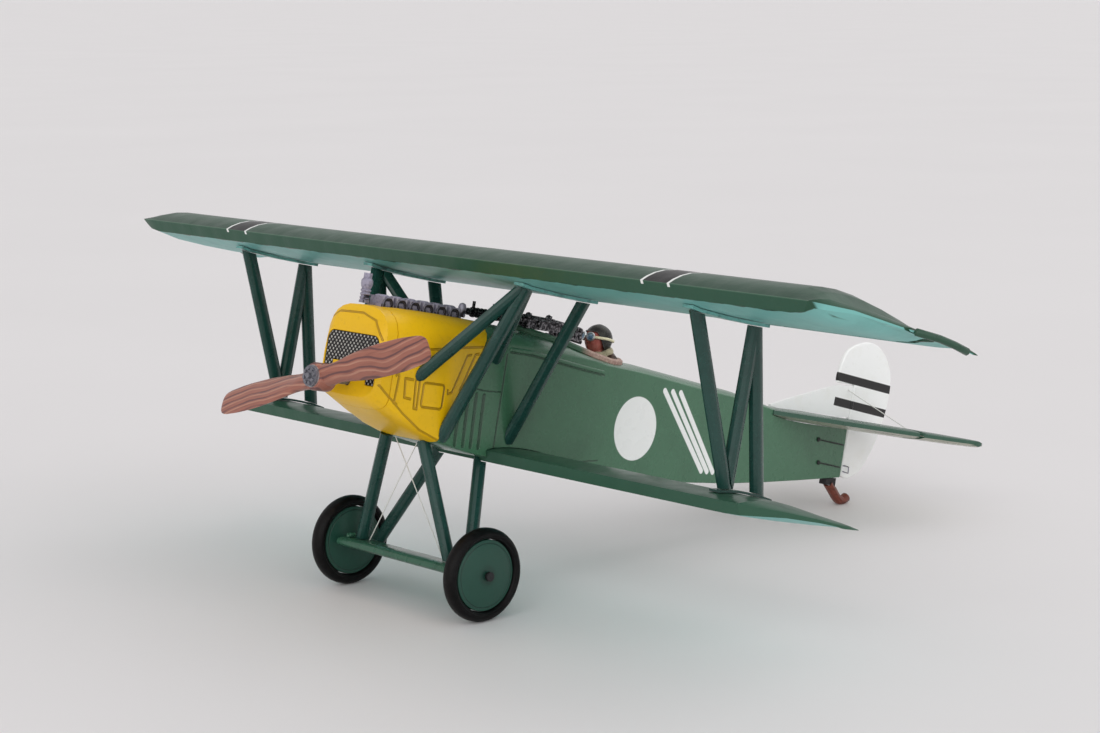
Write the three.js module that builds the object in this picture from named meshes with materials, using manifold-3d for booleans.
// A biplane scale model at one twentieth of full size, standing on its wheels and tail skid.
// Airframe axes: x to port, y aft, z up, with the airframe's origin at the middle of the axle.
// The airframe group is then tipped nose-up to its resting angle and set on the ground plane.

import * as THREE from 'three';
import { mergeVertices } from 'three/addons/utils/BufferGeometryUtils.js';
import Module from 'manifold-3d';

const wasm = await Module();
wasm.setup();

// ---------------------------------------------------------------- driving dimensions, mm
const GAP = 0.3;
const REST_ANGLE = THREE.MathUtils.degToRad(12.5);
const SIDES = [['port', 1], ['starboard', -1]];
const FAR = 400;

const WHEEL = { radius: 19, discRadius: 14.4, x: 42.9, width: 7, segments: 32 };
const AXLE = { radius: 1.2, reach: 47.4, capRadius: 1.9 };
const FAIRING = { halfSpan: 36, lead: -12.5, trail: 9, thickness: 4.2 };

const UPPER = {
  lead: -18.9, trail: 61, trailZ: 118, tipDrop: 2, square: 206.5, split: 212.4, half: 222.5,
  top: [[0, 0], [0.06, 0.037], [0.15, 0.067], [0.28, 0.078], [0.46, 0.06], [0.66, 0.012],
    [0.86, -0.052], [1, -0.092]],
  under: [[1, -0.101], [0.8, -0.104], [0.59, -0.104], [0.375, -0.099], [0.18, -0.087],
    [0.036, -0.06]],
};
const LOWER = {
  lead: 12.6, trail: 72, trailZ: 44.7, tipDrop: 1.4, square: 160.5, half: 172.5,
  top: [[0, 0], [0.06, 0.018], [0.2, 0.034], [0.35, 0.036], [0.54, 0.02], [0.75, -0.025],
    [1, -0.075]],
  under: [[1, -0.092], [0.7, -0.094], [0.4, -0.092], [0.18, -0.087], [0.035, -0.078]],
};
const AILERON = { inner: 128, noseEnd: 199, hingeY: 46.5, noseRadius: 2.5, hingeZ: 118.4, wallY: 43 };
const PEG = { radius: 0.9, length: 5 };

// Body stations: y, half width, keel z, chine z, shoulder z, top z, squareness of the shoulder.
const STATIONS = [
  [-48.4, 17.4, 62.5, 70.5, 78, 96.8, 2.3],
  [-46.6, 19, 60.4, 68.9, 82.6, 99.2, 3],
  [-34.3, 19.6, 55.2, 59.3, 84.8, 99.9, 2.9],
  [-22.7, 20, 50.6, 53.1, 86, 100.1, 2.7],
  [-12.4, 20, 47.6, 49.5, 87.4, 100.1, 2.5],
  [3, 20, 45.4, 46.5, 89.4, 99.8, 2.3],
  [17, 20, 44.2, 45, 90.8, 99.3, 2.2],
  [35, 20, 43.8, 44.6, 90.2, 98.6, 2.1],
  [54, 19.8, 43.5, 44.3, 89.6, 97.4, 2],
  [68, 19.3, 43.2, 44, 89.3, 93.8, 2],
  [83, 18, 42.9, 43.6, 88.6, 91, 2],
  [103, 16.2, 42.4, 43.1, 87.2, 91.4, 2],
  [141, 12.8, 42.2, 42.9, 84, 88.2, 2],
  [170, 10.2, 43.5, 44.2, 82.4, 85.8, 2],
  [197, 7.7, 45.6, 46.3, 79.6, 81.6, 2],
  [225, 5.2, 48.3, 48.9, 78.4, 79.4, 2],
  [258, 2.2, 51.8, 52.3, 77, 77.8, 2],
];
const COWL_SPLIT = { y: -13.8, z: 49.6, lean: THREE.MathUtils.degToRad(23) };
const SHELL_BACK = -41.6;
const GRILLE = { half: 16.4, top: 87.4, bar: 76, legInner: 11.2, foot: 68, depth: 1.8, corner: 4 };
const ENGINE = { front: -40.6, pitch: 7.05, cylinders: 6, halfWidth: 4.4, floor: 97.4, top: 103.6 };
const COCKPIT = { y: 65.2, halfLength: 30, halfWidth: 14, floor: 74, padRadius: 1.7, square: 2.6 };
const GUN = { x: 6.4, z: 103, muzzleY: 13, jacketY: 18.5, breechY: 35, endY: 55, radius: 1.9 };
const RAIL = { width: 5.4, thickness: 1.2, front: -9, back: 34, cabaneBack: 33 };
const FOOT_PLATE = { width: 5.6, thickness: 0.9, front: 20.5, back: 50 };
const HEAD = { y: 85, z: 99.6 };

const PROP = { z: 68.3, front: -66, back: -57.2, radius: 65, angle: 16.6, shaftRadius: 1.7 };

const INTERPLANE = {
  x: 141, frontTop: [-4.7, 117], rearTop: [28.5, 115], frontFoot: [26.5, 50], rearFoot: [44.4, 49],
};
const STRUT = { width: 4.4, depth: 6.5 };
const CABANE = {
  front: [47.4, -3.3, 117], rear: [48.4, 28.4, 116], cowlFoot: [19, -27.6, 74.6],
  lowFoot: [19, -11.3, 51.4], midFoot: [19, 10.5, 85], rearFoot: [19, 24.4, 53.2],
};
const GEAR = {
  frontTop: [11.7, -14.5, 48.5], rearTop: [12.8, 16.4, 44.8], frontFoot: [28.5, -5, 1.5],
  rearFoot: [29.5, 4.4, 1.5], width: 4.6, depth: 5.8,
};

// The tailplane and elevator share one thin section, swept from the apex to the round tips.
const TAIL = {
  trailZ: 79.2, tipDrop: 0, square: 60, rootX: 8, rootLead: 197, sweep: 1.41, trail: 286.6,
  top: [[0, 0], [0.1, 0.012], [0.4, 0.016], [0.7, 0.008], [1, -0.008]],
  under: [[1, -0.045], [0.65, -0.062], [0.35, -0.06], [0.12, -0.048], [0, -0.03]],
  hingeY: 256.8, wallY: 254.9, hingeZ: 79, sparRadius: 0.9, notch: 13.6,
};
const RUDDER = { hingeY: 260.8, thickness: 1.9, noseY: 260, postRadius: 1.2, postFoot: 52.8, postTop: 97.2 };
const FIN = { thickness: 1.8 };
const THREAD = { radius: 0.22, finY: 256.4, finZ: 94.6, tailX: 46.6, tailY: 252.6, tailZ: 79 };

const COLOURS = {
  topGreen: 0x2f5a45, bodyGreen: 0x3d6b52, strutGreen: 0x1f4a42, cowl: 0xe8b818,
  black: 0x15171a, tyre: 0x101012, disc: 0x1d3d33, wood: 0xb57360, white: 0xe9ebe9,
  metal: 0x6f6c7c, steel: 0xb9bcc0, leather: 0x23221d, skin: 0xb9775c, pad: 0x7a4a40,
  skid: 0x7a3a22, thread: 0xd8d8d4,
};

// ---------------------------------------------------------------- general helpers
function signedVolume(geometry) {
  const position = geometry.getAttribute('position');
  const index = geometry.getIndex();
  const corner = [new THREE.Vector3(), new THREE.Vector3(), new THREE.Vector3()];
  let total = 0;
  for (let i = 0; i < index.count; i += 3) {
    corner.forEach((c, k) => c.fromBufferAttribute(position, index.getX(i + k)));
    total += corner[0].dot(corner[1].clone().cross(corner[2]));
  }
  return total / 6;
}

// One closed, welded, outward-facing copy that carries positions only.
function welded(geometry) {
  const bare = geometry.clone();
  bare.deleteAttribute('normal');
  bare.deleteAttribute('uv');
  const closed = mergeVertices(bare, 1e-4);
  if (signedVolume(closed) < 0) {
    const index = closed.getIndex();
    for (let i = 0; i < index.count; i += 3) {
      const keep = index.getX(i);
      index.setX(i, index.getX(i + 1));
      index.setX(i + 1, keep);
    }
  }
  return closed;
}

function solid(geometry) {
  const closed = welded(geometry);
  return new wasm.Manifold(new wasm.Mesh({
    numProp: 3,
    vertProperties: new Float32Array(closed.getAttribute('position').array),
    triVerts: new Uint32Array(closed.getIndex().array),
  }));
}

function shapeOf(manifold) {
  const mesh = manifold.getMesh();
  const geometry = new THREE.BufferGeometry();
  geometry.setAttribute('position', new THREE.BufferAttribute(mesh.vertProperties, 3));
  geometry.setIndex(new THREE.BufferAttribute(mesh.triVerts, 1));
  geometry.computeVertexNormals();
  return geometry;
}

function union(geometries) {
  return geometries.map(solid).reduce((all, next) => all.add(next));
}

function without(body, cutters) {
  return cutters.reduce((left, cutter) => left.subtract(cutter), body);
}

function moved(geometry, x, y, z) {
  return geometry.clone().translate(x, y, z);
}

function box(x, y, z, sizeX, sizeY, sizeZ) {
  return new THREE.BoxGeometry(sizeX, sizeY, sizeZ).translate(x, y, z);
}

// A skin over a row of rings, closed by a fan at each end or joined end to end.
function loft(rings, joined = false) {
  const count = rings[0].length;
  const position = rings.flat().flatMap((p) => [p.x, p.y, p.z]);
  const index = [];
  const spans = joined ? rings.length : rings.length - 1;
  for (let i = 0; i < spans; i += 1) {
    const here = i * count;
    const next = ((i + 1) % rings.length) * count;
    for (let j = 0; j < count; j += 1) {
      const k = (j + 1) % count;
      index.push(here + j, here + k, next + k, here + j, next + k, next + j);
    }
  }
  if (!joined) {
    [0, rings.length - 1].forEach((ring, end) => {
      const centre = position.length / 3;
      const mean = rings[ring].reduce((sum, p) => sum.add(p), new THREE.Vector3());
      mean.divideScalar(count);
      position.push(mean.x, mean.y, mean.z);
      for (let j = 0; j < count; j += 1) {
        const a = ring * count + j;
        const b = ring * count + ((j + 1) % count);
        index.push(centre, ...(end === 0 ? [b, a] : [a, b]));
      }
    });
  }
  const geometry = new THREE.BufferGeometry();
  geometry.setAttribute('position', new THREE.Float32BufferAttribute(position, 3));
  geometry.setIndex(index);
  return geometry;
}

function outline(points) {
  return new THREE.Shape(points.map(([a, b]) => new THREE.Vector2(a, b)));
}

function flat(shape, depth, curveSegments = 8) {
  return new THREE.ExtrudeGeometry(shape, { depth, bevelEnabled: false, curveSegments });
}

// An outline drawn in (x, y), lying from z up to z + depth.
function plan(shape, z, depth) {
  return flat(shape, depth).translate(0, 0, z);
}

// An outline drawn in (y, z), standing across x from -depth / 2 to depth / 2.
function profile(shape, depth) {
  const turn = new THREE.Matrix4().makeBasis(
    new THREE.Vector3(0, 1, 0),
    new THREE.Vector3(0, 0, 1),
    new THREE.Vector3(1, 0, 0),
  );
  return flat(shape, depth).applyMatrix4(turn).translate(-depth / 2, 0, 0);
}

// An outline drawn in (x, z), running from y aft to y + depth.
function frontal(shape, y, depth) {
  return flat(shape, depth).rotateX(Math.PI / 2).translate(0, y + depth, 0);
}

// A rod of oval section between two points, its depth turned as nearly fore-and-aft as it can be.
function bar(from, to, width, depth, sides = 12) {
  const start = new THREE.Vector3(...from);
  const along = new THREE.Vector3(...to).sub(start);
  const length = along.length();
  const axis = along.clone().normalize();
  const aft = new THREE.Vector3(0, 1, 0).addScaledVector(axis, -axis.y).normalize();
  const across = new THREE.Vector3().crossVectors(axis, aft);
  const place = new THREE.Matrix4().makeBasis(across, axis, aft);
  place.setPosition(start.addScaledVector(along, 0.5));
  return new THREE.CylinderGeometry(0.5, 0.5, length, sides)
    .scale(width, 1, depth)
    .applyMatrix4(place);
}

function mirrored([x, y, z], side) {
  return [x * side, y, z];
}

function paint(color, roughness = 0.45, metalness = 0) {
  return new THREE.MeshStandardMaterial({ color, roughness, metalness });
}

const airframe = new THREE.Group();
airframe.rotation.x = -REST_ANGLE;
airframe.position.z = WHEEL.radius;

function add(name, shape, material, group = airframe) {
  const geometry = shape instanceof THREE.BufferGeometry ? welded(shape) : shapeOf(shape);
  const mesh = new THREE.Mesh(geometry, material);
  mesh.name = name;
  group.add(mesh);
  return mesh;
}

// ---------------------------------------------------------------- wings
// A rib outline at one spanwise station; heights scale with the chord above the trailing edge.
// The rise lifts the leading edge above its share of the chord and the bulge fattens the section.
function rib(wing, [x, lead, trail, rise, bulge, droop = 0]) {
  const chord = trail - lead;
  const trailZ = wing.trailZ - wing.tipDrop * (Math.abs(x) / wing.square) - droop;
  const curve = new THREE.SplineCurve(wing.top.map(([u, h]) => new THREE.Vector2(u, h)));
  const top = curve.getPoints(11).map((p) => [p.x, p.y]);
  const crease = -wing.top[wing.top.length - 1][1];
  return [...top, ...wing.under].map(([u, h]) => {
    const straight = crease * (1 - u);
    const swell = h + crease - straight;
    return new THREE.Vector3(
      x,
      lead + u * chord,
      trailZ + (straight * rise + swell * bulge) * chord,
    );
  });
}

function wingSkin(wing, tip) {
  const port = tip.map((station) => rib(wing, station));
  const starboard = tip.map(([x, ...rest]) => rib(wing, [-x, ...rest])).reverse();
  return loft([...starboard, ...port]);
}

// Stations: x, leading edge y, trailing edge y, rise, bulge, droop.
const upperSkin = wingSkin(UPPER, [
  [197, UPPER.lead, UPPER.trail, 1, 1], [203, UPPER.lead, UPPER.trail, 1, 0.8],
  [UPPER.square, UPPER.lead, UPPER.trail, 1, 0.45], [209.2, 3, 61, 1.28, 0.3],
  [UPPER.split, 29, 61, 1.36, 0.3, 0.2], [217.5, 41.8, 61, 1.9, 0.35, 0.6],
  [220.6, 50.4, 60.8, 1.5, 0.7, 1.1], [222.5, 55, 58.8, 1.1, 1.3, 1.4],
]);
const lowerSkin = wingSkin(LOWER, [
  [152, LOWER.lead, LOWER.trail, 1, 1], [LOWER.square, LOWER.lead, LOWER.trail, 1, 0.9],
  [166, 33, 72, 1.2, 0.7], [170, 48, 71.4, 1.3, 0.65], [172, 56, 69.6, 1.3, 0.8],
  [172.5, 58.4, 66.5, 1.3, 1.2],
]);

function aileronSpace(side, inner, front, tip) {
  const reach = UPPER.half + 10;
  return [
    box(side * (inner + reach) / 2, front + FAR / 4, UPPER.trailZ, reach - inner, FAR / 2, 60),
    box(side * (tip + reach) / 2, 0, UPPER.trailZ, reach - tip, FAR, 60),
  ];
}

function alongX(radius, from, to, y, z, sides) {
  return bar([from, y, z], [to, y, z], radius * 2, radius * 2, sides);
}

function aileron(side) {
  const { inner, noseEnd, hingeY, noseRadius, hingeZ } = AILERON;
  const region = union(aileronSpace(side, inner + GAP, hingeY, UPPER.split + GAP));
  const nose = alongX(noseRadius, side * (inner + GAP), side * noseEnd, hingeY, hingeZ, 16);
  const peg = alongX(PEG.radius, side * (inner - PEG.length), side * (inner + 2), hingeY, hingeZ, 10);
  return solid(upperSkin).intersect(region).add(solid(nose)).add(solid(peg));
}

function upperWing() {
  const spaces = SIDES.flatMap(([, side]) => [
    ...aileronSpace(side, AILERON.inner - GAP, AILERON.wallY, UPPER.split - GAP).map(solid),
    solid(alongX(PEG.radius + GAP, side * (AILERON.inner - PEG.length - GAP), side * AILERON.inner,
      AILERON.hingeY, AILERON.hingeZ, 10)),
  ]);
  return without(solid(upperSkin), spaces);
}

const upperSolid = solid(upperSkin);
const lowerSolid = solid(lowerSkin);
add('upper_wing', upperWing(), paint(COLOURS.topGreen));
add('lower_wing', lowerSkin, paint(COLOURS.topGreen));
for (const [name, side] of SIDES) {
  add(`aileron_${name}`, aileron(side), paint(COLOURS.topGreen));
}

// ---------------------------------------------------------------- body, cowl and radiator shell
// A closed body section: curved keel, flat side, curved shoulder up to the deck.
function bodyRing([y, half, keel, chine, shoulder, top, square]) {
  const steps = 5;
  const port = [];
  for (let i = 0; i <= steps; i += 1) {
    const turn = (i / steps) * (Math.PI / 2);
    port.push([half * Math.sin(turn) ** 0.45, chine - (chine - keel) * Math.cos(turn) ** 0.9]);
  }
  for (let i = 0; i <= steps + 1; i += 1) {
    const turn = (i / (steps + 1)) * (Math.PI / 2);
    port.push([
      half * Math.cos(turn) ** (2 / square),
      shoulder + (top - shoulder) * Math.sin(turn) ** (2 / square),
    ]);
  }
  const starboard = port.slice(1, -1).reverse().map(([x, z]) => [-x, z]);
  return [...port, ...starboard].map(([x, z]) => new THREE.Vector3(x, y, z));
}

function stationAt(y) {
  const next = Math.max(1, STATIONS.findIndex((s) => s[0] >= y));
  const [a, b] = [STATIONS[next - 1], STATIONS[next]];
  const t = (y - a[0]) / (b[0] - a[0]);
  return a.map((value, i) => THREE.MathUtils.lerp(value, b[i], t));
}

function deckHeight(x, y) {
  const [, half, , , shoulder, top, square] = stationAt(y);
  const across = Math.min(1, Math.abs(x) / half) ** square;
  return shoulder + (top - shoulder) * (1 - across) ** (1 / square);
}

const bodySkin = loft(STATIONS.map(bodyRing));
const bodySolid = solid(bodySkin);

// Everything ahead of the leaning joint between cowl and fuselage, or everything behind it.
function splitSide(direction, gap) {
  return solid(new THREE.BoxGeometry(FAR, FAR, FAR)
    .translate(0, direction * (FAR / 2 + gap), 0)
    .rotateX(-COWL_SPLIT.lean)
    .translate(0, COWL_SPLIT.y, COWL_SPLIT.z));
}

// The cockpit's rim in plan, on the deck: a squared oval.
function rimPoint(turn, grow = 0) {
  const power = 2 / COCKPIT.square;
  const bend = (value) => Math.sign(value) * Math.abs(value) ** power;
  const x = (COCKPIT.halfWidth + grow) * bend(Math.sin(turn));
  const y = COCKPIT.y + (COCKPIT.halfLength + grow) * bend(Math.cos(turn));
  return new THREE.Vector2(x, y);
}

function cockpitWell(inset) {
  const points = [];
  const steps = 24;
  for (let i = 0; i < steps; i += 1) {
    points.push(rimPoint((i / steps) * 2 * Math.PI, -inset));
  }
  return solid(plan(new THREE.Shape(points), COCKPIT.floor, 60));
}

// The padded rim: a round roll that follows the deck all the way round the cockpit.
function coaming(radius) {
  const steps = 30;
  const sides = 7;
  const centres = [];
  for (let i = 0; i < steps; i += 1) {
    const p = rimPoint((i / steps) * 2 * Math.PI);
    centres.push(new THREE.Vector3(p.x, p.y, deckHeight(p.x, p.y) + 0.5));
  }
  const rings = centres.map((centre, i) => {
    const ahead = centres[(i + 1) % steps].clone().sub(centres[(i + steps - 1) % steps]).normalize();
    const out = new THREE.Vector3().crossVectors(ahead, new THREE.Vector3(0, 0, 1)).normalize();
    const up = new THREE.Vector3().crossVectors(out, ahead);
    const ring = [];
    for (let j = 0; j < sides; j += 1) {
      const turn = (j / sides) * 2 * Math.PI;
      ring.push(centre.clone()
        .addScaledVector(out, radius * Math.cos(turn))
        .addScaledVector(up, radius * Math.sin(turn)));
    }
    return ring;
  });
  return loft(rings, true);
}

// ---------------------------------------------------------------- tail outlines
const tailTip = 60;
const tailLead = (x) => TAIL.rootLead + TAIL.sweep * (x - TAIL.rootX);
const tailSkin = wingSkin(TAIL, [
  [TAIL.rootX, TAIL.rootLead, TAIL.trail, 1, 0.75], [30, tailLead(30), TAIL.trail, 1, 1.1],
  [50, tailLead(50), TAIL.trail, 1, 1.8], [tailTip, tailLead(tailTip), 285.8, 1, 2.9],
  [63.6, 275.2, 283.6, 1, 4.6], [64.6, 277.4, 281.6, 1, 8],
]);

// The elevator halves stand apart in a V that gives the rudder room to swing.
function elevator() {
  const { hingeY, hingeZ, sparRadius, notch, trail } = TAIL;
  const halfHinge = TAIL.rootX + (hingeY - TAIL.rootLead) / TAIL.sweep;
  const spar = solid(alongX(sparRadius, -halfHinge, halfHinge, hingeY, hingeZ, 12));
  const blades = SIDES.map(([, side]) => {
    const region = outline([
      [side * 1.8, hingeY], [side * 80, hingeY], [side * 80, trail + 5], [side * notch, trail + 5],
    ]);
    return solid(tailSkin).intersect(solid(plan(region, 60, 40)));
  });
  return blades.reduce((all, blade) => all.add(blade), spar);
}

function tailplane() {
  return solid(tailSkin).subtract(solid(box(0, TAIL.wallY + FAR / 2, 80, FAR, FAR, 60)));
}

function rudderShape() {
  const nose = RUDDER.noseY;
  return outline([
    [nose, 52.6], [266, 51.8], [274.3, 56.6], [280.6, 66.6], [284.8, 76.9], [287.4, 89.7],
    [287.6, 99.8], [285.6, 106], [280.8, 113], [272.6, 118.1], [262.6, 117.9], [250.6, 112.6],
    [247.5, 102.2], [247.5, 97.2], [nose, 97.2],
  ]);
}

function finShape() {
  const rear = RUDDER.noseY - 0.9;
  return outline([
    [202.5, 76], [TAIL.wallY, 76], [TAIL.wallY, 81], [rear, 81], [rear, 96.6], [247.5, 95.9],
    [215.9, 86.6], [202.5, 82.3],
  ]);
}

function fin() {
  return without(solid(profile(finShape(), FIN.thickness)), [
    tailThread(THREAD.radius + GAP), tailSolid, solid(moved(tailSkin, 0, 0, GAP)),
    solid(box(0, 200, 50, 40, FAR, 56)), ...deckClear,
  ]);
}

const tailSolid = solid(tailSkin);
const deckClear = [0, GAP].map((z) => solid(moved(bodySkin, 0, 0, z)));
// The seat of the tailplane: its own underside, lowered by the gap, and the air above it.
const tailSlot = [
  tailSolid,
  solid(moved(tailSkin, 0, 0, -GAP)),
  solid(moved(tailSkin, 0, -GAP, 0)),
  solid(box(0, 200 + FAR / 2, 78.3 + 10, 40, FAR, 20)),
];

function fuselage() {
  const wingSlots = [[0, 0, GAP], [0, -GAP, 0], [0, GAP, 0]]
    .map(([x, y, z]) => solid(moved(lowerSkin, x, y, z)));
  return without(bodySolid.intersect(splitSide(1, GAP / 2)), [
    cockpitWell(COCKPIT.padRadius * 0.4),
    solid(coaming(COCKPIT.padRadius + GAP)),
    ...tailSlot,
    ...wingSlots,
    ...legSockets,
  ]);
}

function grilleShape(grow) {
  const { half, top, bar: shelf, legInner, foot, corner } = GRILLE;
  const wide = half + grow;
  const high = top + grow;
  const shape = new THREE.Shape();
  shape.moveTo(-wide, foot - grow);
  shape.lineTo(-wide, high - corner);
  shape.absarc(-wide + corner, high - corner, corner, Math.PI, Math.PI / 2, true);
  shape.lineTo(wide - corner, high);
  shape.absarc(wide - corner, high - corner, corner, Math.PI / 2, 0, true);
  shape.lineTo(wide, foot - grow);
  shape.lineTo(legInner - grow, foot - grow);
  shape.lineTo(legInner - grow, shelf - grow);
  shape.lineTo(-legInner + grow, shelf - grow);
  shape.lineTo(-legInner + grow, foot - grow);
  return shape;
}

function alongY(radius, from, to, x, z, sides) {
  return new THREE.CylinderGeometry(radius, radius, to - from, sides)
    .translate(x, (from + to) / 2, z);
}

const shaftBore = solid(alongY(PROP.shaftRadius + GAP, -60, -34, 0, PROP.z, 16));
const grilleRecess = solid(frontal(grilleShape(GAP), -60, 60 + STATIONS[0][0] + GRILLE.depth + GAP));

function radiatorShell() {
  const front = solid(box(0, SHELL_BACK - GAP / 2 - FAR / 2, 0, FAR, FAR, FAR));
  return without(bodySolid.intersect(front), [shaftBore, grilleRecess]);
}

function engineCowl() {
  const back = solid(box(0, SHELL_BACK + GAP / 2 + FAR / 2, 0, FAR, FAR, FAR));
  const { front, pitch, cylinders, halfWidth, floor } = ENGINE;
  const length = pitch * cylinders;
  const bay = solid(box(0, front + length / 2, floor - GAP + 20, 2 * (halfWidth + GAP),
    length + 2 * GAP, 40));
  return without(bodySolid.intersect(back).intersect(splitSide(-1, GAP / 2)), [
    shaftBore, bay, ...legSockets,
  ]);
}

// ---------------------------------------------------------------- landing gear
const legSockets = [];
const legs = SIDES.flatMap(([name, side]) => [
  [`gear_leg_front_${name}`, mirrored(GEAR.frontTop, side), mirrored(GEAR.frontFoot, side)],
  [`gear_leg_rear_${name}`, mirrored(GEAR.rearTop, side), mirrored(GEAR.rearFoot, side)],
]);
for (const [, top, foot] of legs) {
  legSockets.push(solid(bar(top, foot, GEAR.width + 2 * GAP, GEAR.depth + 2 * GAP, 12)));
}

function fairingShape() {
  const { lead, trail, thickness } = FAIRING;
  const half = thickness / 2;
  const shape = new THREE.Shape();
  shape.moveTo(lead, -0.4);
  shape.quadraticCurveTo(lead, half, lead + 6, half);
  shape.lineTo(lead + 13, half);
  shape.quadraticCurveTo(trail - 5, half * 0.7, trail, 0.3);
  shape.lineTo(trail, -0.3);
  shape.quadraticCurveTo(trail - 5, -half * 0.7, lead + 13, -half);
  shape.lineTo(lead + 6, -half);
  shape.quadraticCurveTo(lead, -half, lead, -0.4);
  return shape;
}

const fairingSolid = solid(profile(fairingShape(), 2 * FAIRING.halfSpan));

function gearLeg(top, foot) {
  const stem = solid(bar(top, foot, GEAR.width, GEAR.depth, 12));
  const lifted = solid(profile(fairingShape(), 2 * FAIRING.halfSpan).translate(0, 0, GAP));
  return without(stem, [
    fairingSolid,
    lifted,
    solid(box(0, 0, -FAR / 2, FAR, FAR, FAR)),
    solid(moved(lowerSkin, 0, -GAP, 0)),
    solid(moved(lowerSkin, 0, 0, -GAP)),
  ]);
}

add('fuselage', fuselage(), paint(COLOURS.bodyGreen));
add('engine_cowl', engineCowl(), paint(COLOURS.cowl, 0.4));
add('radiator_shell', radiatorShell(), paint(COLOURS.cowl, 0.4));
add('radiator_core', frontal(grilleShape(0), STATIONS[0][0] + 0.2, GRILLE.depth - 0.2),
  paint(COLOURS.metal, 0.4, 0.6));
for (const [name, top, foot] of legs) {
  add(name, gearLeg(top, foot), paint(COLOURS.strutGreen));
}
const axleBore = solid(alongX(AXLE.radius + GAP, -FAIRING.halfSpan - 1, FAIRING.halfSpan + 1, 0, 0, 12));
add('axle_fairing', fairingSolid.subtract(axleBore), paint(COLOURS.strutGreen));

function axle() {
  const rod = solid(alongX(AXLE.radius, -AXLE.reach, AXLE.reach, 0, 0, 16));
  return SIDES.reduce((all, [, side]) => all.add(solid(
    alongX(AXLE.capRadius, side * (AXLE.reach - 0.2), side * (AXLE.reach + 0.8), 0, 0, 16),
  )), rod);
}
add('axle', axle(), paint(COLOURS.black, 0.5, 0.3));

function lathe(points, segments) {
  return new THREE.LatheGeometry(points.map(([r, h]) => new THREE.Vector2(r, h)), segments);
}

// The tyre's tread radius is to its flats, so that one flat lies on the ground.
function tyre() {
  const flatToCorner = 1 / Math.cos(Math.PI / WHEEL.segments);
  const { radius, discRadius, width } = WHEEL;
  const inner = (discRadius + GAP) * flatToCorner;
  const outer = radius * flatToCorner;
  const half = width / 2;
  return lathe([
    [inner, -half * 0.62], [inner + 1.4, -half], [outer - 1.5, -half * 0.82], [outer, -half * 0.3],
    [outer, half * 0.3], [outer - 1.5, half * 0.82], [inner + 1.4, half], [inner, half * 0.62],
    [inner, -half * 0.62],
  ], WHEEL.segments);
}

function disc() {
  const { discRadius, width } = WHEEL;
  const bore = AXLE.radius + GAP;
  const half = width / 2;
  return lathe([
    [bore, -half - 0.2], [3, -half - 0.2], [discRadius - 1, -half * 0.62 - 0.1],
    [discRadius, -half * 0.5], [discRadius, half * 0.5], [discRadius - 1, half * 0.62 + 0.1],
    [3, half + 0.2], [bore, half + 0.2], [bore, -half - 0.2],
  ], WHEEL.segments);
}

for (const [name, side] of SIDES) {
  const wheel = new THREE.Group();
  wheel.position.x = side * WHEEL.x;
  wheel.rotation.x = REST_ANGLE + Math.PI / WHEEL.segments;
  airframe.add(wheel);
  const turned = (geometry) => geometry.rotateZ(Math.PI / 2);
  add(`wheel_disc_${name}`, turned(disc()), paint(COLOURS.disc, 0.5), wheel);
  add(`tyre_${name}`, turned(tyre()), paint(COLOURS.tyre, 0.6), wheel);
}

// Two threads cross in the bay between the front legs, joined where they meet.
function gearThreads() {
  const { frontTop, frontFoot } = GEAR;
  const threads = SIDES.map(([, side]) => bar(
    [-side * (frontTop[0] - 2.6), frontTop[1] + 0.6, frontTop[2] + 2],
    [side * (frontFoot[0] - 3.2), frontFoot[1] + 0.6, frontFoot[2] - 1],
    2 * THREAD.radius,
    2 * THREAD.radius,
    6,
  ));
  return without(union(threads), [
    ...legSockets,
    fairingSolid,
    solid(profile(fairingShape(), 2 * FAIRING.halfSpan).translate(0, 0, GAP)),
    ...deckClear,
    solid(moved(bodySkin, 0, 0, -GAP)),
  ]);
}
add('gear_brace_threads', gearThreads(), paint(COLOURS.thread, 0.5));

// ---------------------------------------------------------------- interplane and cabane struts
// A thin strip that lies along a wing surface, drop below it or rise above it.
function strip(skin, direction, thickness, x, width, front, back) {
  const space = solid(box(x, (front + back) / 2, 90, width, back - front, 120));
  const layer = solid(moved(skin, 0, 0, direction * (GAP + thickness)));
  return without(space.intersect(layer), [solid(skin), solid(moved(skin, 0, 0, direction * GAP))]);
}

for (const [name, side] of SIDES) {
  const greens = paint(COLOURS.strutGreen);
  const { width, thickness, front, back, cabaneBack } = RAIL;
  add(`interplane_rail_${name}`,
    strip(upperSkin, -1, thickness, side * INTERPLANE.x, width, front, back), greens);
  add(`cabane_rail_${name}`,
    strip(upperSkin, -1, thickness, side * (CABANE.front[0] + 0.6), width, front, cabaneBack), greens);
  add(`strut_foot_plate_${name}`, strip(lowerSkin, 1, FOOT_PLATE.thickness, side * INTERPLANE.x,
    FOOT_PLATE.width, FOOT_PLATE.front, FOOT_PLATE.back), greens);
}

const wingTrims = [
  upperSolid,
  solid(moved(upperSkin, 0, 0, -RAIL.thickness - 2 * GAP)),
  lowerSolid,
  solid(moved(lowerSkin, 0, 0, FOOT_PLATE.thickness + 2 * GAP)),
];

function strut(top, foot, cutters) {
  return without(solid(bar(top, foot, STRUT.width, STRUT.depth)), [...wingTrims, ...cutters]);
}

function clearOf(top, foot) {
  return solid(bar(top, foot, STRUT.width + 2 * GAP, STRUT.depth + 2 * GAP));
}

// Lengthens a strut at both ends so that it can be trimmed to the surfaces it meets.
function stretched(top, foot, extra) {
  const a = new THREE.Vector3(...top);
  const b = new THREE.Vector3(...foot);
  const along = b.clone().sub(a).normalize();
  return [
    a.addScaledVector(along, -extra).toArray(),
    b.addScaledVector(along, extra).toArray(),
  ];
}

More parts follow.
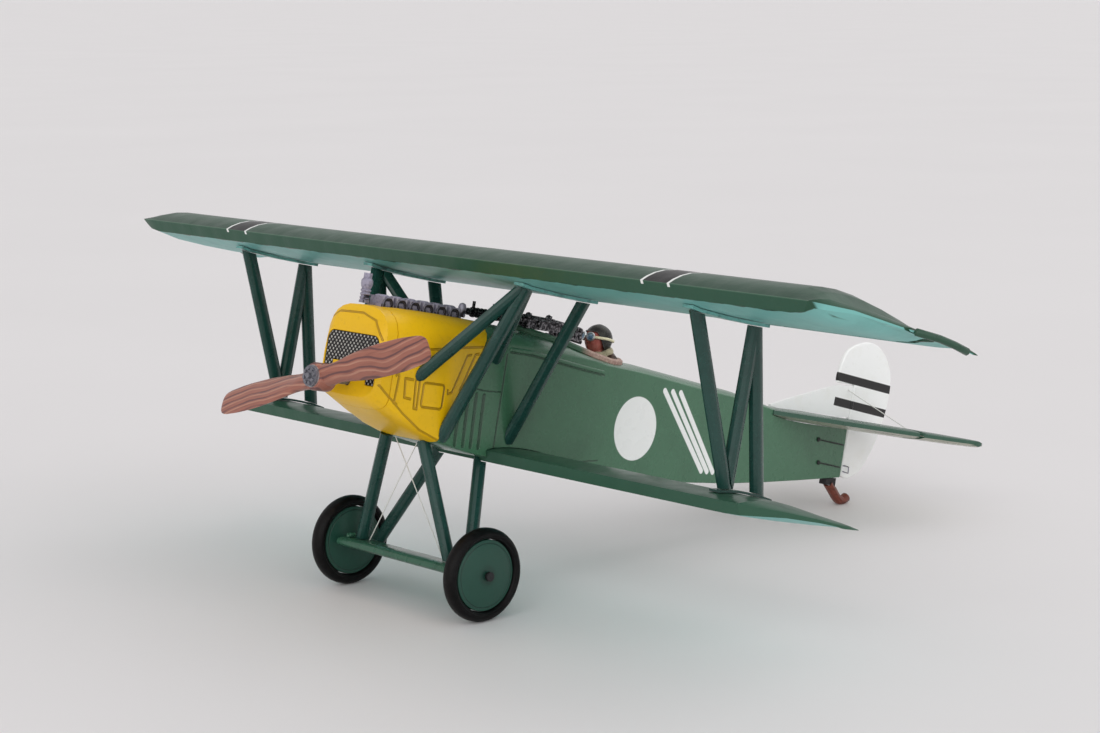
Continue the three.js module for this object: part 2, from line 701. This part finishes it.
for (const [name, side] of SIDES) {
  const at = ([y, z]) => [side * INTERPLANE.x, y, z];
  const front = stretched(at(INTERPLANE.frontTop), at(INTERPLANE.frontFoot), 2.5);
  const rear = stretched(at(INTERPLANE.rearTop), at(INTERPLANE.rearFoot), 2.5);
  const diagonal = [at(INTERPLANE.rearTop), at(INTERPLANE.frontFoot)];
  const greens = paint(COLOURS.strutGreen);
  add(`interplane_front_${name}`, strut(...front, []), greens);
  add(`interplane_rear_${name}`, strut(...rear, []), greens);
  add(`interplane_diagonal_${name}`, strut(...diagonal, [clearOf(...front), clearOf(...rear)]), greens);
}

const bodyClear = SIDES.flatMap(([, side]) => [side * GAP, 0]).map((x) => {
  return solid(moved(bodySkin, x, 0, 0));
});

// Trims the feet that reach past the body's lower edge.
const belowBody = solid(box(0, 0, 25, 2 * (STATIONS[5][1] + GAP), FAR, 54));

for (const [name, side] of SIDES) {
  const place = (point) => mirrored(point, side);
  const low = stretched(place(CABANE.front), place(CABANE.lowFoot), 2.5);
  const cowl = [place(CABANE.front), stretched(place(CABANE.front), place(CABANE.cowlFoot), 2.5)[1]];
  const mid = [place(CABANE.front), stretched(place(CABANE.front), place(CABANE.midFoot), 2.5)[1]];
  const rear = stretched(place(CABANE.rear), place(CABANE.rearFoot), 2.5);
  const greens = paint(COLOURS.strutGreen);
  const feet = [...bodyClear, belowBody];
  add(`cabane_low_${name}`, strut(...low, feet), greens);
  add(`cabane_cowl_${name}`, strut(...cowl, [...feet, clearOf(...low)]), greens);
  add(`cabane_rear_${name}`, strut(...rear, feet), greens);
  add(`cabane_mid_${name}`,
    strut(...mid, [...feet, clearOf(...low), clearOf(...cowl), clearOf(...rear)]), greens);
}

// ---------------------------------------------------------------- engine
function engineBlock() {
  const { front, pitch, cylinders, halfWidth, floor, top } = ENGINE;
  const length = pitch * cylinders;
  const base = box(0, front + length / 2, (floor + 100.6) / 2, 2 * halfWidth, length, 100.6 - floor);
  const jugs = [];
  for (let i = 0; i < cylinders; i += 1) {
    const y = front + (i + 0.5) * pitch;
    jugs.push(box(0, y, (100 + top) / 2, 2 * halfWidth - 0.8, pitch - 1.5, top - 100));
  }
  return union([base, ...jugs]);
}

// The ringed stack at the front of the engine; it stands on the first cylinder.
function engineStack() {
  const rings = [[0, 0], [2.2, 0], [2.2, 1]];
  for (let i = 0; i < 3; i += 1) {
    const base = 1.4 + i * 1.5;
    rings.push([1.7, base], [2.1, base + 0.3], [2.1, base + 0.9], [1.7, base + 1.2]);
  }
  return lathe([...rings, [2.1, 6.4], [2.4, 7.6], [2.4, 9], [1.7, 10], [1.7, 12], [0, 12]], 10)
    .rotateX(Math.PI / 2);
}

// The round-topped fitting that closes the back of the engine.
function engineEnd() {
  return lathe([[0, 0], [1.5, 0], [1.7, 0.8], [1.7, 4.4], [1.2, 5.6], [0, 6]], 14)
    .rotateX(Math.PI / 2);
}

add('engine_block', engineBlock(), paint(COLOURS.metal, 0.4, 0.5));
add('engine_stack', engineStack(), paint(COLOURS.metal, 0.4, 0.5))
  .position.set(-2.4, ENGINE.front - 3.4, STATIONS[1][5] + 0.6);
add('engine_end_fitting', engineEnd(), paint(COLOURS.steel, 0.4, 0.6))
  .position.set(1.6, ENGINE.front + ENGINE.pitch * ENGINE.cylinders + 2.4, STATIONS[5][5] + GAP);

// ---------------------------------------------------------------- guns
function gun() {
  const { muzzleY, jacketY, breechY, endY, radius } = GUN;
  const pieces = [
    alongY(1, muzzleY, jacketY + 1, 0, 0, 8),
    alongY(1.5, muzzleY + 0.8, muzzleY + 2.6, 0, 0, 8),
    alongY(radius, jacketY, breechY + 1, 0, 0, 10),
    box(0, (breechY + endY) / 2, -1.3, 3.4, endY - breechY, 5.6),
    alongY(2.2, jacketY - 2, jacketY - 0.8, 0, 0, 10),
    box(0, jacketY - 1.4, radius + 1.2, 0.7, 1.2, 3),
    box(0, endY - 6, 2.2, 1, 2, 2.4),
    alongY(1.2, endY - 0.5, endY + 1.4, 0, -0.6, 10),
  ];
  return union(pieces);
}

function gunOver(side) {
  const rim = coaming(COCKPIT.padRadius + GAP).translate(-side * GUN.x, 0, -GUN.z);
  const below = box(0, 30, -9.2, 20, 60, 12);
  return without(gun(), [solid(rim), solid(below)]);
}

for (const [name, side] of SIDES) {
  add(`gun_${name}`, gunOver(side), paint(COLOURS.black, 0.4, 0.7))
    .position.set(side * GUN.x, 0, GUN.z);
}

// ---------------------------------------------------------------- cockpit and pilot
add('cockpit_coaming', coaming(COCKPIT.padRadius), paint(COLOURS.pad, 0.8));

function ellipsoid(x, y, z, width = 16, height = 10) {
  return new THREE.SphereGeometry(1, width, height).rotateX(Math.PI / 2).scale(x, y, z);
}

function bust() {
  const chest = new THREE.CylinderGeometry(0.5, 0.5, 16.5, 12)
    .rotateX(Math.PI / 2)
    .scale(18, 11.5, 1)
    .translate(0, 1.8, -17.2);
  const shoulders = ellipsoid(10.2, 6.4, 4.4, 14, 8).translate(0, 1.8, -10.6);
  const scarf = ellipsoid(5.2, 5, 2.6, 14, 8).translate(0, 0.6, -7.6);
  const rim = coaming(COCKPIT.padRadius + GAP).translate(0, -HEAD.y, -HEAD.z);
  const well = cockpitWell(COCKPIT.padRadius * 0.4 + GAP).translate([0, -HEAD.y, -HEAD.z]);
  return without(union([chest, shoulders, scarf]).intersect(well), [
    solid(headShape(GAP)), solid(helmetShape(GAP)), solid(rim),
  ]);
}

function headShape(grow) {
  return ellipsoid(4.9 + grow, 5.6 + grow, 6.4 + grow).translate(0, -1.4, -0.4);
}

function helmetShape(grow) {
  return ellipsoid(6.2 + grow, 7.2 + grow, 6.9 + grow).translate(0, 0.6, 0.4);
}

function helmet() {
  const shell = solid(helmetShape(0));
  const face = solid(box(0, -8, -2.6, 14, 9, 8.6));
  const under = solid(box(0, 0, -10, 20, 30, 8));
  return without(shell, [solid(headShape(GAP)), face, under]);
}

function goggles() {
  const lenses = SIDES.map(([, side]) => new THREE.CylinderGeometry(2, 2.2, 1.8, 12)
    .translate(side * 2.3, -8.4, 1.2));
  const bridge = box(0, -8.3, 1.3, 3, 1, 1);
  return without(union([...lenses, bridge]), [
    solid(headShape(GAP)), solid(helmetShape(GAP)),
  ]);
}

const pilot = new THREE.Group();
pilot.position.set(0, HEAD.y, HEAD.z);
airframe.add(pilot);
add('pilot_bust', bust(), paint(COLOURS.pad, 0.8), pilot);
add('pilot_head', headShape(0), paint(COLOURS.skin, 0.7), pilot);
add('pilot_helmet', helmet(), paint(COLOURS.leather, 0.5), pilot);
add('pilot_goggles', goggles(), paint(COLOURS.steel, 0.2, 0.3), pilot);

// ---------------------------------------------------------------- tail
function alongZ(radius, from, to, x, y, sides) {
  return new THREE.CylinderGeometry(radius, radius, to - from, sides)
    .rotateX(Math.PI / 2)
    .translate(x, y, (from + to) / 2);
}

// The blade is thickened to a round post up its hinge line.
function rudder() {
  const { thickness, hingeY, postRadius, postFoot, postTop } = RUDDER;
  const blade = solid(profile(rudderShape(), thickness));
  return blade.add(solid(alongZ(postRadius, postFoot, postTop, 0, hingeY, 12)));
}

add('tailplane', tailplane(), paint(COLOURS.bodyGreen));
add('elevator', elevator(), paint(COLOURS.bodyGreen));
add('fin', fin(), paint(COLOURS.white, 0.35));
add('rudder', rudder(), paint(COLOURS.white, 0.35));

// One thread runs from half of the tailplane through the fin to the other half.
function tailThread(radius) {
  const { finY, finZ, tailX, tailY, tailZ } = THREAD;
  const sides = SIDES.map(([, side]) => bar(
    [-side * 0.4, finY, finZ], [side * tailX, tailY, tailZ], 2 * radius, 2 * radius, 6,
  ));
  return union(sides);
}

add('tail_brace_thread', without(tailThread(THREAD.radius), [
  tailSolid, solid(moved(tailSkin, 0, 0, GAP)),
]), paint(COLOURS.thread, 0.5));

// The skid is cut off level with the ground that the wheels stand on.
function tailSkid() {
  const bow = new THREE.CatmullRomCurve3([
    [252.5, 48.6], [256.4, 45.4], [260.4, 42.1], [264.2, 40.7], [267.6, 42.6],
  ].map(([y, z]) => new THREE.Vector3(0, y, z)));
  const round = new THREE.Shape().absellipse(0, 0, 2.6, 2.3, 0, 2 * Math.PI);
  const skid = new THREE.ExtrudeGeometry(round, {
    extrudePath: bow, steps: 10, curveSegments: 5, bevelEnabled: false,
  });
  const ground = new THREE.BoxGeometry(FAR, 2 * FAR, FAR)
    .translate(0, 0, -FAR / 2 - WHEEL.radius)
    .rotateX(REST_ANGLE);
  return without(solid(skid), [solid(ground), ...bodyClear, skidClear]);
}

function skidBracket(grow) {
  return box(0, 252.2, 49.8, 4 + 2 * grow, 7.4 + 2 * grow, 4 + 2 * grow);
}
const skidClear = solid(skidBracket(GAP));
add('skid_bracket', without(solid(skidBracket(0)), [
  bodySolid, solid(moved(bodySkin, 0, 0, -GAP)),
]), paint(COLOURS.black, 0.5));
add('tail_skid', tailSkid(), paint(COLOURS.skid, 0.5));

// ---------------------------------------------------------------- propeller
// Blade section at a radius: an oval of the given chord and thickness, pitched about the span.
function bladeRing(r, chord, thickness, pitch) {
  const ring = [];
  const sides = 12;
  for (let i = 0; i < sides; i += 1) {
    const turn = (i / sides) * 2 * Math.PI;
    const u = (chord / 2) * Math.cos(turn);
    const v = (thickness / 2) * Math.sin(turn);
    const [s, c] = [Math.sin(pitch), Math.cos(pitch)];
    ring.push(new THREE.Vector3(r, -u * s + v * c, u * c + v * s));
  }
  return ring;
}

function propeller() {
  const half = [
    [5.4, 9.6, 7.4, 50], [9, 8.8, 6.4, 46], [15, 9.6, 5, 38], [24, 11.8, 3.8, 31],
    [36, 13, 3, 25], [48, 12.8, 2.4, 21], [57, 11.6, 2, 19], [62, 9.2, 1.7, 18],
    [PROP.radius, 4.4, 1.3, 18],
  ];
  const rings = half.map(([r, chord, thick, pitch]) => {
    return bladeRing(r, chord, thick, THREE.MathUtils.degToRad(pitch));
  });
  const blade = loft([bladeRing(0, 9.6, 7.6, 0.9), ...rings]);
  const other = blade.clone().rotateY(Math.PI);
  const boss = alongY(5.6, PROP.front - PROP.back, 0, 0, 0, 20)
    .translate(0, (PROP.back - PROP.front) / 2, 0);
  const bore = alongY(PROP.shaftRadius + GAP, -20, 20, 0, 0, 16);
  return without(union([blade, other, boss]), [solid(bore)]);
}

function hubPlate() {
  const plate = alongY(4.3, -1, 0, 0, 0, 20);
  const bolts = [];
  const count = 8;
  for (let i = 0; i < count; i += 1) {
    const turn = (i / count) * 2 * Math.PI;
    bolts.push(alongY(0.75, -1.8, -0.5, 3 * Math.cos(turn), 3 * Math.sin(turn), 6));
  }
  return union([plate, ...bolts, alongY(1.2, -2.2, -0.5, 0, 0, 8)]);
}

const spinning = new THREE.Group();
spinning.position.set(0, (PROP.front + PROP.back) / 2, PROP.z);
spinning.rotation.y = -THREE.MathUtils.degToRad(PROP.angle);
airframe.add(spinning);
const bossHalf = (PROP.back - PROP.front) / 2;
add('propeller', propeller(), paint(COLOURS.wood, 0.5), spinning);
add('prop_hub_plate', hubPlate(), paint(COLOURS.steel, 0.3, 0.9), spinning)
  .position.y = -bossHalf - GAP;
add('prop_shaft', alongY(PROP.shaftRadius, -bossHalf, 22, 0, 0, 16), paint(COLOURS.steel, 0.3, 0.9),
  spinning);

// ---------------------------------------------------------------- standing on the ground
const model = new THREE.Group();
model.add(airframe);
model.updateMatrixWorld(true);
const bounds = new THREE.Box3().setFromObject(model, true);
const middle = bounds.getCenter(new THREE.Vector3());
model.position.set(-middle.x, -middle.y, -bounds.min.z);
model.updateMatrixWorld(true);

export default model;
